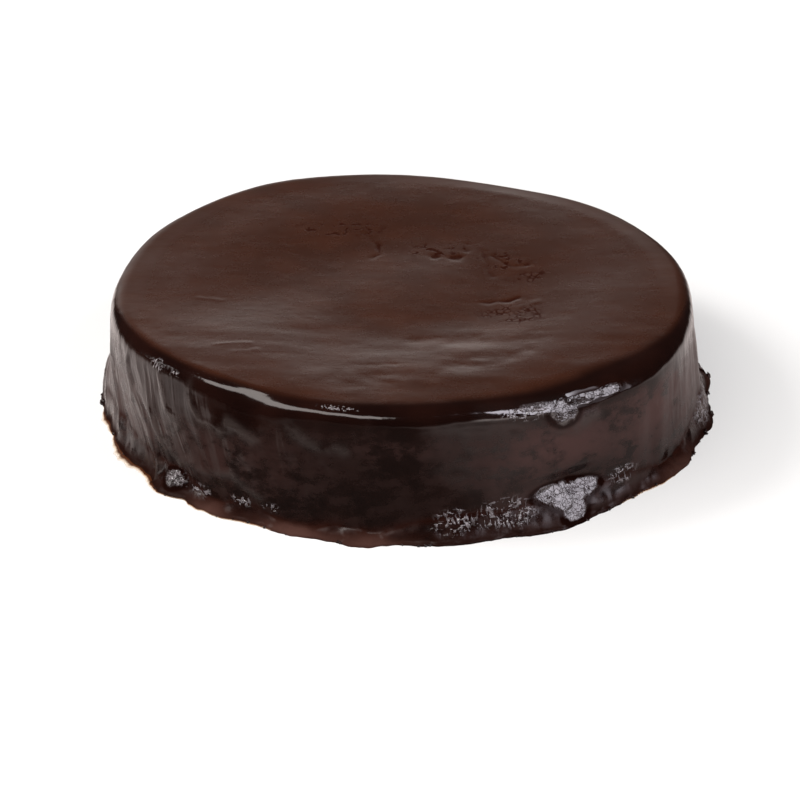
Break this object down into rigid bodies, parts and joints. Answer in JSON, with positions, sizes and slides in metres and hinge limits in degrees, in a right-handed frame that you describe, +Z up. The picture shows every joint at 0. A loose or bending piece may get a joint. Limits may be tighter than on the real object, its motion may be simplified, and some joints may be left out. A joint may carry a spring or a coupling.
{
  "type": "soaked chocolate cake",
  "caption": "Whole round cake coated all over in dark chocolate glaze, with a rounded wavy rim, hanging folds on its side and a pooled lip round its foot.",
  "frame": {"origin": "middle of the underside, at the centre of the cake's bounding box", "axes": "+Z up, from the underside to the top; the front of the cake faces -Y; +X to the right of it"},
  "size_m": [0.2624, 0.2608, 0.0542],
  "materials": {
    "chocolate_glaze": "glossy dark brown glaze, satin on the top"
  },
  "bodies": {
    "root": {"cake": "chocolate_glaze"}
  },
  "joints": []
}
